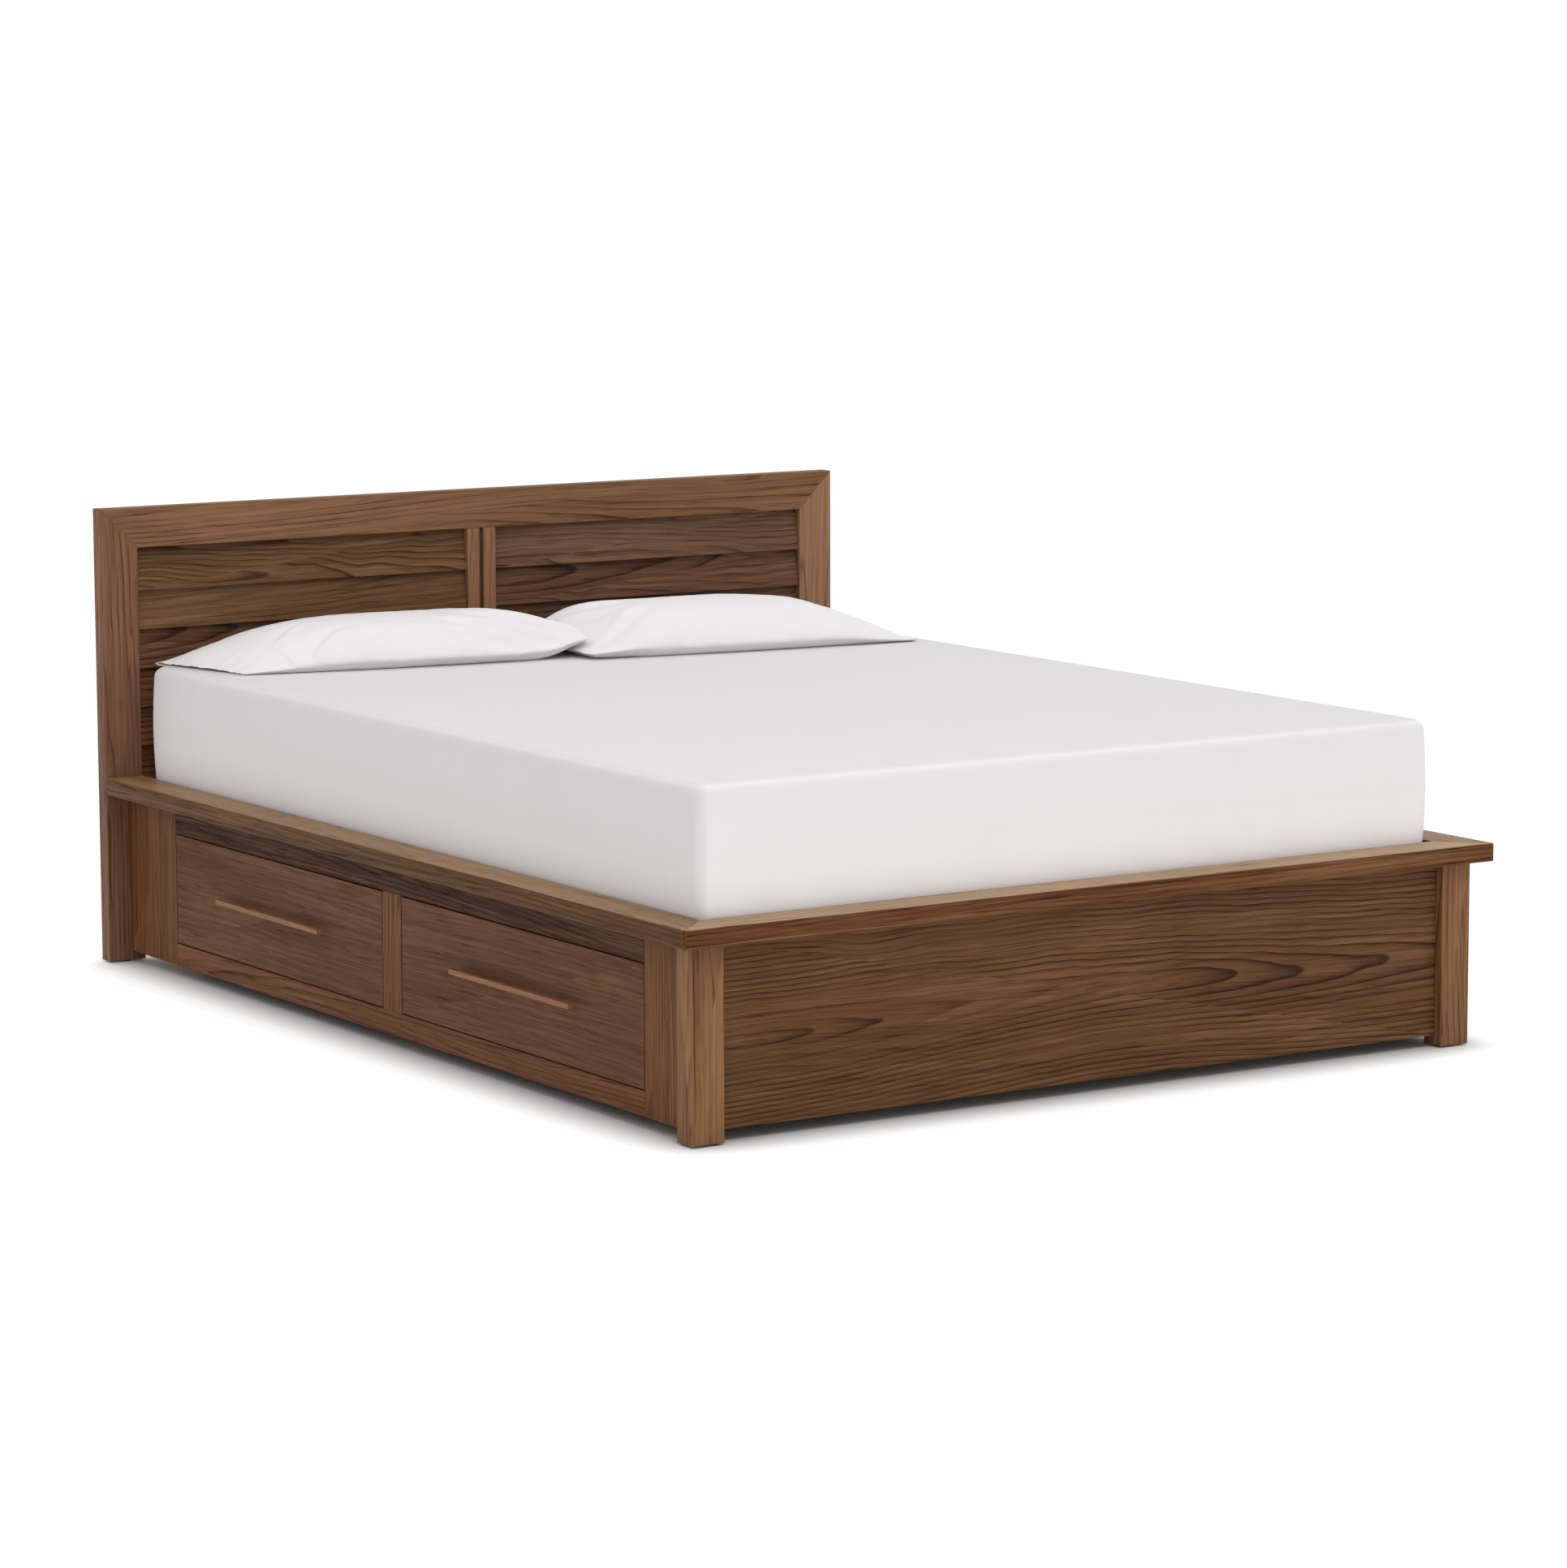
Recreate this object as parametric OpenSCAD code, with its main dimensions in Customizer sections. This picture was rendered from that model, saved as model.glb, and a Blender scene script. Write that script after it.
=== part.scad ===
// Queen platform bed with four side drawers, a clapboard headboard, mattress and pillows.
// Millimetres. +Z up, +Y towards the headboard, -X the left side seen from the foot.
// The origin is on the floor at the centre of the bed's footprint.

/* [Bed] */
// Width over the platform and the headboard
bed_w = 1686; // [1686:2:1760]
// Length from the headboard's front face to the foot edge
platform_l = 2151; // [2151:1:2200]
// Height of the platform's top face
platform_h = 366; // [366:2:400]
// Thickness of the platform's edge rails
ledge_t = 33; // [28:1:36]
// Width of the platform's edge rails
ledge_w = 78; // [74:1:80]
// Gap between the floor and the bottom of the side frames
toe_gap = 22; // [20:1:35]

/* [Headboard] */
// Height of the headboard
headboard_h = 890; // [860:5:1000]
// Thickness of the headboard's frame
headboard_t = 35; // [34:1:40]
// Face width of the posts and the top rail
frame_face = 78; // [70:1:90]
// Height of one clapboard
board_pitch = 76; // [70:1:78]
// Number of clapboards on each half
board_count = 6; // [5:1:6]
// Thickness of a clapboard at its lower edge
board_butt = 14; // [12:1:16]
// Face width of one centre stile
centre_stile_w = 28; // [22:1:40]
// Width of the groove between the centre stiles
centre_groove = 9; // [6:1:14]

/* [Legs and side frames] */
// Leg width across the bed
leg_w = 62; // [56:1:70]
// Leg depth along the bed
leg_d = 46; // [42:1:60]
// Inset of the legs from the platform's edge
leg_inset = 30; // [26:1:34]
// Inset of the side frames and the foot panel from the platform's edge
frame_inset = 46; // [44:1:52]
// Board thickness of the frames and panels
board_t = 20; // [18:1:22]
// Width of the stile beside the headboard
head_stile_w = 207; // [190:1:215]
// Width of the stile between the drawers
mid_stile_w = 68; // [60:1:76]
// Height of the rail below the drawers
low_rail_h = 43; // [38:1:46]

/* [Drawers] */
// Width of a drawer opening
opening_w = 837; // [800:1:840]
// Height of a drawer opening
opening_h = 215; // [208:1:218]
// Gap around an inset drawer front
reveal = 2.5; // [2:0.5:4]
// Depth of the drawer box behind its front
box_d = 640; // [560:10:680]
// Height of the drawer box
box_h = 165; // [140:5:170]
// Thickness of the box sides
box_t = 12; // [10:1:16]
// Thickness of the box bottom
bottom_t = 6; // [5:1:8]
// How far a drawer pulls out
drawer_travel = 580; // [400:10:600]

/* [Pulls and slides] */
// Length of the pull bar
pull_l = 412; // [300:4:500]
// Thickness of the square pull bar
pull_t = 9; // [8:1:12]
// Finger gap behind the pull bar
pull_gap = 13; // [12:1:20]
// Length of the drawer slides
slide_l = 600; // [500:10:620]
// Thickness of one slide member
slide_t = 3.8; // [3.4:0.1:3.8]

/* [Bedding] */
// Mattress width
mattress_w = 1524; // [1500:2:1524]
// Mattress length
mattress_l = 2032; // [2000:2:2032]
// Mattress thickness
mattress_t = 238; // [180:2:260]
// Depth of the recess that keeps the mattress in place
recess = 20; // [16:1:24]
// Pillow length
pillow_l = 730; // [640:10:740]
// Pillow depth
pillow_d = 390; // [340:10:400]
// Pillow thickness
pillow_t = 96; // [60:2:120]

/* [Hidden] */
$fn = 48;
half_w = bed_w / 2;
bed_l = platform_l + headboard_t;
foot_y = -bed_l / 2;
head_y = foot_y + platform_l;
back_y = head_y + headboard_t;
ledge_z = platform_h - ledge_t;
glide_h = 3;
// How far a cutting shape runs past the face that it cuts
overrun = 1;

// Headboard
inner_x = half_w - frame_face;
opening_top = headboard_h - frame_face;
top_board_extra = 8;
top_board_h = board_pitch + top_board_extra;
boards_h = (board_count - 1) * board_pitch + top_board_h;
boards_z = opening_top - boards_h;
board_lip = 3;
board_tip = 2;
boards_back = head_y + board_lip + board_butt;
centre_half = centre_groove / 2 + centre_stile_w;
back_panel_t = 12;
spline_depth = 8;
low_rail_z = 150;

// Side frames and legs
frame_x = half_w - frame_inset;
case_x = frame_x - board_t;
leg_x = half_w - leg_inset;
leg_y = foot_y + leg_inset;
leg_back_y = leg_y + leg_d;
panel_y = foot_y + frame_inset;
panel_back_y = panel_y + board_t;
opening_z = toe_gap + low_rail_h;
opening_top_z = opening_z + opening_h;

// Drawer bays, measured on the left side
BAYS = ["head", "foot"];
SIDES = ["left", "right"];
head_bay_y = head_y - head_stile_w - opening_w;
foot_bay_y = head_bay_y - mid_stile_w - opening_w;
function bay_y(bay) = bay == "head" ? head_bay_y : foot_bay_y;

// Case, slats and their supports
partition_t = 18;
partition_top = 290;
slat_t = 18;
slat_w = 90;
slat_count = 13;
slat_top = platform_h - recess;
slat_z = slat_top - slat_t;
cleat_w = 40;
beam_w = 40;
block_w = 80;
block_d = 40;
block_z = 80;
slat_end_gap = 16;
slat_side_gap = 3;
head_rail_w = 32;
deck_end_y = head_y - head_rail_w;

// Bolts that hold the headboard
bolt_r = 4;
bolt_hole_r = 4.5;
bolt_head_r = 10;
bolt_head_t = 5;
socket_r = 4;
socket_depth = 3;
counterbore_r = 12;
counterbore_d = 8;
bolt_setback = 47;
bolt_x = case_x - bolt_setback;
BOLT_HEIGHTS = [180, 260];

// Drawer boxes and slides
side_gap = 13;
slide_gap = (side_gap - 3 * slide_t) / 2;
box_lift = 15;
box_z = opening_z + box_lift;
groove_d = 6;
groove_lift = 10;
groove_z = box_z + groove_lift;
slide_lift = 72;
slide_mid_z = box_z + slide_lift;
SLIDE_HEIGHTS = [45, 36, 26];
slide_start = 5;
pull_lift = 4;
pull_z = opening_z + opening_h / 2 + pull_lift;
standoff_r = 4;
standoff_spread = 260;

// Bedding
mattress_gap = 6;
mattress_y = foot_y + ledge_w + mattress_gap;
mattress_top = slat_top + mattress_t;
mattress_r = 36;
pillow_r = 50;

walnut = [0.36, 0.23, 0.15];
walnut_dark = [0.29, 0.18, 0.12];
maple = [0.78, 0.66, 0.50];
ply = [0.70, 0.58, 0.42];
steel = [0.62, 0.63, 0.65];
nylon = [0.16, 0.16, 0.17];
linen = [0.93, 0.93, 0.94];

function drawer_nodes(kind) = [for (s = SIDES, b = BAYS) str(kind, "_", s, "_", b)];

// ---- Helpers ----

// The two limits of a stretch that starts at a place and has a length
function span(start, length) = [start, start + length];

// A block between two limits on each axis
module block(x, y, z) {
    translate([x[0], y[0], z[0]])
        cube([x[1] - x[0], y[1] - y[0], z[1] - z[0]]);
}

// Left-hand pieces are drawn as they are and right-hand ones are mirrored
module on_side(side) {
    mirror([side == "right" ? 1 : 0, 0, 0]) children();
}

// An outline in X and Z, extruded through the thickness of the headboard's frame
module headboard_slab() {
    translate([0, back_y, 0])
        rotate([90, 0, 0])
            linear_extrude(headboard_t) children();
}

// An outline in Y and Z, extruded between two places on X
module along_x(x0, x1) {
    translate([x0, 0, 0])
        rotate([90, 0, 90])
            linear_extrude(x1 - x0) children();
}

// A rectangle centred on the origin, with round corners
module rounded_rect(w, l, r) {
    square([w - 2 * r, l], center = true);
    square([w, l - 2 * r], center = true);
    for (sx = [-1, 1], sy = [-1, 1])
        translate([sx * (w / 2 - r), sy * (l / 2 - r)]) circle(r);
}

// ---- Headboard ----

// A post, mitred into the top rail
module headboard_post(side) {
    color(walnut)
        on_side(side)
            headboard_slab()
                polygon([
                    [-half_w, glide_h], [-inner_x, glide_h],
                    [-inner_x, opening_top], [-half_w, headboard_h]
                ]);
}

module headboard_top_rail() {
    color(walnut)
        headboard_slab()
            polygon([
                [-half_w, headboard_h], [-inner_x, opening_top],
                [inner_x, opening_top], [half_w, headboard_h]
            ]);
}

// The rail behind the platform takes the bolts from the back
module headboard_lower_rail() {
    color(walnut)
        difference() {
            block([-inner_x, inner_x], [head_y, back_y], [low_rail_z, boards_z]);
            for (sx = [-1, 1], z = BOLT_HEIGHTS)
                translate([sx * bolt_x, 0, z]) rotate([-90, 0, 0]) {
                    translate([0, 0, head_y - overrun])
                        cylinder(r = bolt_hole_r, h = headboard_t + 2 * overrun);
                    translate([0, 0, back_y - counterbore_d])
                        cylinder(r = counterbore_r, h = counterbore_d + overrun);
                }
        }
}

module headboard_centre_stiles() {
    color(walnut)
        for (s = SIDES)
            on_side(s)
                block([-centre_half, -centre_groove / 2], [head_y, boards_back], [boards_z, opening_top]);
}

module headboard_centre_spline() {
    groove_floor = head_y + spline_depth;
    half_groove = centre_groove / 2;
    color(walnut_dark)
        block([-half_groove, half_groove], [groove_floor, boards_back], [boards_z, opening_top]);
}

// Each clapboard is a wedge, thick at its lower edge, that tips back towards its top
module headboard_boards(side) {
    color(walnut_dark)
        on_side(side)
            for (i = [0 : board_count - 1]) {
                z = boards_z + i * board_pitch;
                h = i == board_count - 1 ? top_board_h : board_pitch;
                along_x(-inner_x, -centre_half)
                    polygon([
                        [head_y + board_lip, z], [boards_back, z],
                        [boards_back, z + h], [boards_back - board_tip, z + h]
                    ]);
            }
}

module headboard_back_panel() {
    color(walnut)
        block([-inner_x, inner_x], span(boards_back, back_panel_t), [boards_z, opening_top]);
}

// ---- Platform ----

// A side rail of the platform's edge, mitred at the foot
module platform_rail(side) {
    color(walnut)
        on_side(side)
            translate([0, 0, ledge_z])
                linear_extrude(ledge_t)
                    polygon([
                        [-half_w, foot_y], [ledge_w - half_w, foot_y + ledge_w],
                        [ledge_w - half_w, head_y], [-half_w, head_y]
                    ]);
}

module platform_rail_foot() {
    color(walnut)
        translate([0, 0, ledge_z])
            linear_extrude(ledge_t)
                polygon([
                    [-half_w, foot_y], [half_w, foot_y],
                    [half_w - ledge_w, foot_y + ledge_w], [ledge_w - half_w, foot_y + ledge_w]
                ]);
}

module platform_rail_head() {
    color(walnut)
        block([ledge_w - half_w, half_w - ledge_w], [deck_end_y, head_y], [ledge_z, platform_h]);
}

// ---- Foot end ----

module foot_panel() {
    panel_x = leg_x - leg_w;
    color(walnut)
        block([-panel_x, panel_x], [panel_y, panel_back_y], [toe_gap, ledge_z]);
}

module foot_leg(side) {
    color(walnut)
        on_side(side)
            block([-leg_x, leg_w - leg_x], [leg_y, leg_back_y], [glide_h, ledge_z]);
}

// ---- Side frames ----

// The end stiles run the full height and the middle one stands between the rails
module side_stiles(side) {
    mid_y = foot_bay_y + opening_w;
    color(walnut)
        on_side(side) {
            block([-frame_x, -case_x], [head_y - head_stile_w, head_y], [toe_gap, ledge_z]);
            block([-frame_x, -case_x], span(mid_y, mid_stile_w), [opening_z, opening_top_z]);
            block([-frame_x, -case_x], [leg_back_y, foot_bay_y], [toe_gap, ledge_z]);
        }
}

module side_rails(side) {
    y = [foot_bay_y, head_y - head_stile_w];
    color(walnut)
        on_side(side) {
            block([-frame_x, -case_x], y, [toe_gap, opening_z]);
            block([-frame_x, -case_x], y, [opening_top_z, ledge_z]);
        }
}

// ---- Inside of the platform ----

// Boards across the bed on both sides of each pair of drawers
module case_partitions() {
    color(ply)
        for (b = BAYS, y = [bay_y(b) - partition_t, bay_y(b) + opening_w])
            block([-case_x, case_x], span(y, partition_t), [toe_gap, partition_top]);
}

module centre_beam() {
    color(maple)
        block([-beam_w / 2, beam_w / 2], [panel_back_y, head_y], [partition_top, slat_z]);
}

// A levelling foot under the middle of each partition
module centre_feet() {
    pad_h = 6;
    pad_d = 40;
    stem_d = 14;
    color(nylon)
        for (b = BAYS, y = [bay_y(b) - partition_t / 2, bay_y(b) + opening_w + partition_t / 2])
            translate([0, y, 0]) {
                cylinder(d = pad_d, h = pad_h);
                translate([0, 0, pad_h]) cylinder(d = stem_d, h = toe_gap - pad_h);
            }
}

// Ledges along the side frames that carry the slat ends
module slat_cleats() {
    color(maple)
        for (s = SIDES)
            on_side(s)
                block([-case_x, cleat_w - case_x], [leg_back_y, head_y], [partition_top, slat_z]);
}

module deck_slats() {
    first_y = foot_y + ledge_w + slat_end_gap;
    last_y = deck_end_y - slat_end_gap - slat_w;
    pitch = (last_y - first_y) / (slat_count - 1);
    end_x = half_w - ledge_w - slat_side_gap;
    color(maple)
        for (i = [0 : slat_count - 1])
            block([-end_x, end_x], span(first_y + i * pitch, slat_w), [slat_z, slat_top]);
}

// Blocks in the four inner corners; the bed bolts run into the two at the head
module corner_blocks() {
    x = span(-case_x, block_w);
    z = [block_z, partition_top];
    color(maple)
        for (s = SIDES)
            on_side(s) {
                difference() {
                    block(x, [head_y - block_d, head_y], z);
                    for (bolt_z = BOLT_HEIGHTS)
                        translate([-bolt_x, head_y - block_d - overrun, bolt_z])
                            rotate([-90, 0, 0])
                                cylinder(r = bolt_hole_r, h = block_d + 2 * overrun);
                }
                block(x, span(leg_back_y, block_d), z);
            }
}

// Socket-head bolts, sunk in the lower rail
module bed_bolts() {
    seat_y = back_y - counterbore_d;
    shank_l = seat_y - head_y + block_d;
    color(steel)
        for (sx = [-1, 1], z = BOLT_HEIGHTS)
            translate([sx * bolt_x, seat_y, z]) rotate([-90, 0, 0])
                difference() {
                    union() {
                        translate([0, 0, -shank_l]) cylinder(r = bolt_r, h = shank_l);
                        cylinder(r = bolt_head_r, h = bolt_head_t);
                    }
                    translate([0, 0, bolt_head_t - socket_depth])
                        cylinder(r = socket_r, h = socket_depth + overrun, $fn = 6);
                }
}

// Thin glides under the two posts and the two legs
module glides() {
    post_x = half_w - frame_face / 2;
    leg_mid_x = leg_x - leg_w / 2;
    post_glide_d = 26;
    leg_glide_d = 30;
    color(nylon)
        for (sx = [-1, 1]) {
            translate([sx * post_x, head_y + headboard_t / 2, 0])
                cylinder(d = post_glide_d, h = glide_h);
            translate([sx * leg_mid_x, leg_y + leg_d / 2, 0]) cylinder(d = leg_glide_d, h = glide_h);
        }
}

// ---- Drawer slides ----

// A pair of slide members: step 0 is screwed to the case, 1 runs between, 2 is on the drawer
module slide_pair(bay, step) {
    inset = step * (slide_t + slide_gap);
    h = SLIDE_HEIGHTS[step];
    x = span(slide_start - case_x, slide_l);
    z = span(slide_mid_z - h / 2, h);
    block(x, span(bay_y(bay) + inset, slide_t), z);
    block(x, span(bay_y(bay) + opening_w - inset - slide_t, slide_t), z);
}

module slide_outer_members() {
    color(steel)
        for (s = SIDES, b = BAYS)
            on_side(s) slide_pair(b, 0);
}

module slide_middle_members(side, bay) {
    color(steel) on_side(side) slide_pair(bay, 1);
}

module slide_inner_members(side, bay) {
    color(steel) on_side(side) slide_pair(bay, 2);
}

// ---- Drawers ----

module drawer_front(side, bay) {
    y = bay_y(bay);
    color(walnut)
        on_side(side)
            block(
                [-frame_x, -case_x],
                [y + reveal, y + opening_w - reveal],
                [opening_z + reveal, opening_top_z - reveal]
            );
}

// Both sides of the box, grooved for the bottom
module drawer_sides(side, bay) {
    y0 = bay_y(bay) + side_gap;
    y1 = bay_y(bay) + opening_w - side_gap;
    x = span(-case_x, box_d);
    color(maple)
        on_side(side)
            difference() {
                for (y = [y0, y1 - box_t])
                    block(x, span(y, box_t), span(box_z, box_h));
                drawer_groove(bay);
            }
}

// The board behind the front and the back board, between the sides
module drawer_ends(side, bay) {
    y0 = bay_y(bay) + side_gap + box_t;
    y1 = bay_y(bay) + opening_w - side_gap - box_t;
    color(maple)
        on_side(side)
            difference() {
                for (x = [-case_x, box_d - case_x - box_t])
                    block(span(x, box_t), [y0, y1], span(box_z, box_h));
                drawer_groove(bay);
            }
}

// The space that the drawer's bottom fills, inside the box and its grooves
module drawer_groove(bay) {
    edge = box_t - groove_d;
    y0 = bay_y(bay) + side_gap + edge;
    y1 = bay_y(bay) + opening_w - side_gap - edge;
    block([edge - case_x, box_d - case_x - edge], [y0, y1], span(groove_z, bottom_t));
}

module drawer_bottom(side, bay) {
    color(ply) on_side(side) drawer_groove(bay);
}

// A square bar on two round standoffs
module drawer_pull(side, bay) {
    mid_y = bay_y(bay) + opening_w / 2;
    bar_x = -frame_x - pull_gap - pull_t;
    color(walnut)
        on_side(side) {
            block(
                span(bar_x, pull_t),
                span(mid_y - pull_l / 2, pull_l),
                span(pull_z - pull_t / 2, pull_t)
            );
            for (sy = [-1, 1])
                translate([-frame_x - pull_gap, mid_y + sy * standoff_spread / 2, pull_z])
                    rotate([0, 90, 0]) cylinder(r = standoff_r, h = pull_gap);
        }
}

// ---- Bedding ----

module mattress() {
    color(linen)
        translate([0, mattress_y + mattress_l / 2, slat_top])
            linear_extrude(mattress_t) rounded_rect(mattress_w, mattress_l, mattress_r);
}

// A flat pillow on the mattress, turned about the middle of its end beside the other pillow
module pillow(inner_end, way, turn) {
    color(linen)
        translate([inner_end[0], inner_end[1], mattress_top])
            rotate([0, 0, turn])
                translate([way * pillow_l / 2, 0, 0])
                    linear_extrude(pillow_t) rounded_rect(pillow_l, pillow_d, pillow_r);
}

module pillow_left() {
    pillow([-2, head_y - 264], -1, -5);
}

module pillow_right() {
    pillow([5, head_y - 272], 1, -6);
}

// ---- Pieces ----

headboard_post("left");  // headboard_post_left
headboard_post("right");  // headboard_post_right
headboard_top_rail();
headboard_lower_rail();
headboard_centre_stiles();
headboard_centre_spline();
headboard_boards("left");  // headboard_boards_left
headboard_boards("right");  // headboard_boards_right
headboard_back_panel();
platform_rail("left");  // platform_rail_left
platform_rail("right");  // platform_rail_right
platform_rail_foot();
platform_rail_head();
foot_panel();
foot_leg("left");  // foot_leg_left
foot_leg("right");  // foot_leg_right
side_stiles("left");  // side_stiles_left
side_stiles("right");  // side_stiles_right
side_rails("left");  // side_rails_left
side_rails("right");  // side_rails_right
case_partitions();
centre_beam();
centre_feet();
slat_cleats();
deck_slats();
corner_blocks();
bed_bolts();
glides();
slide_outer_members();
for (s = SIDES, b = BAYS) {
    drawer_front(s, b);
    drawer_sides(s, b);
    drawer_ends(s, b);
    drawer_bottom(s, b);
    drawer_pull(s, b);
    slide_inner_members(s, b);
    slide_middle_members(s, b);
}
mattress();
pillow_left();
pillow_right();
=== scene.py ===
"""Platform bed with storage drawers: the looks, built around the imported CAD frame."""

import math

import bpy
import numpy as np
from mathutils import Matrix, Vector


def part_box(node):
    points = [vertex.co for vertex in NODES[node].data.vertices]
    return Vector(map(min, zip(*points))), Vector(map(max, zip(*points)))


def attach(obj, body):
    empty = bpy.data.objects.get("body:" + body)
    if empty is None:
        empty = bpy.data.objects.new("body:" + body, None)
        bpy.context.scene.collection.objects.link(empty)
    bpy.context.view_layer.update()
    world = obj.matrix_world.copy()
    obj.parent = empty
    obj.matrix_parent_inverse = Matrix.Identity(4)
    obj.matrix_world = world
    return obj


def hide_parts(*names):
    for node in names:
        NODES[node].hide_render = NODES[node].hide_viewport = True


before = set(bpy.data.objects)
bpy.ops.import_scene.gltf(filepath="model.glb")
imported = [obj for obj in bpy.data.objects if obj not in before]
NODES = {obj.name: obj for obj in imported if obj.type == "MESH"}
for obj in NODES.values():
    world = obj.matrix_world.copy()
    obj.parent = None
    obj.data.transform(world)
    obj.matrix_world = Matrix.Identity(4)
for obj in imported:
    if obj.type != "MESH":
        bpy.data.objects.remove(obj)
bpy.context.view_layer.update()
SCENE = bpy.context.scene
MM = 0.001
SIDES = ("left", "right")
BAYS = ("head", "foot")
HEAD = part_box("platform_rail_left")[1].y
BED_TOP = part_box("mattress")[1].z


# ---------------------------------------------------------------- colours

def srgb(red, green, blue, gain=1.0):
    """A linear RGBA colour from 0-255 screen values, brightened by gain."""
    def linear(value):
        value = value / 255
        return value / 12.92 if value <= 0.04045 else ((value + 0.055) / 1.055) ** 2.4
    return (*(min(linear(v) * gain, 1.0) for v in (red, green, blue)), 1.0)


WALNUT_SPECULAR = 0.10
WALNUT_ROUGHNESS = 0.44
# The faces along the sides are seen at a slant, and shine less than they would there
SIDE_SPECULAR = 0.05
# How far behind a board's middle the heart of its log lies, in metres
HEART_DEPTH = 0.060
# How much deeper it lies for each metre along the board
HEART_SLOPE = 0.03
# How far to either side of a board's middle it may lie
HEART_SPREAD = 0.09
# Shades of the wood's own tone, from the darkest line to the plain wood
WALNUT_SHADES = [(0.0, (0.20, 0.15, 0.12)), (0.25, (0.52, 0.46, 0.41)), (0.5, (1.0, 1.0, 1.0)),
                 (1.0, (1.0, 1.0, 1.0))]
# How dark the wood is from one ring's start to the next ring's
LATEWOOD = [(0.0, 0.0), (0.45, 0.06), (0.76, 0.50), (0.86, 1.0), (0.93, 0.9), (0.98, 0.0)]
# What the palest streaks add to the wood's tone
WALNUT_SAP = (0.120, 0.074, 0.040, 1.0)
WALNUT_TONES = {
    "post_left": (112, 78, 59),
    "post_right": (127, 94, 68),
    "top_rail": (115, 82, 57),
    "centre_stile": (132, 96, 68),
    "side_stile": (97, 62, 38),
    "drawer": (87, 55, 36),
    "pull": (126, 90, 60),
    "foot_panel": (92, 61, 35),
    "leg": (116, 81, 53),
    "platform_side": (82, 53, 27),
    # The two top tones are painted light: the platform's top faces are painted lighter, as if lit from
    # above and reflecting the sheet
    "platform_side_top_painted_light": (134, 103, 71),
    "platform_foot": (94, 60, 34),
    "platform_foot_top_painted_light": (157, 129, 98),
}
# The lower rail of a side frame, and the upper one, darkened as painted shade under the platform's
# overhang; they are told apart by their height
SIDE_RAIL_TONES_AND_SHADE = [(100, 66, 46), (100, 66, 46), (62, 41, 30)]
RAIL_PITCH = 0.14
# How dark the painted shade is on a board's upper part, under the next board
BOARD_SHADE = 0.66
# One tone for each clapboard, from the lowest to the top one
BOARD_TONES_LEFT = [(112, 76, 48), (112, 75, 48), (104, 68, 46), (98, 64, 45), (98, 68, 44), (98, 69, 44)]
BOARD_TONES_RIGHT = [(98, 66, 46), (96, 63, 45), (100, 68, 50), (94, 62, 45), (93, 62, 46), (101, 72, 56)]


# ---------------------------------------------------------------- node trees

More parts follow.
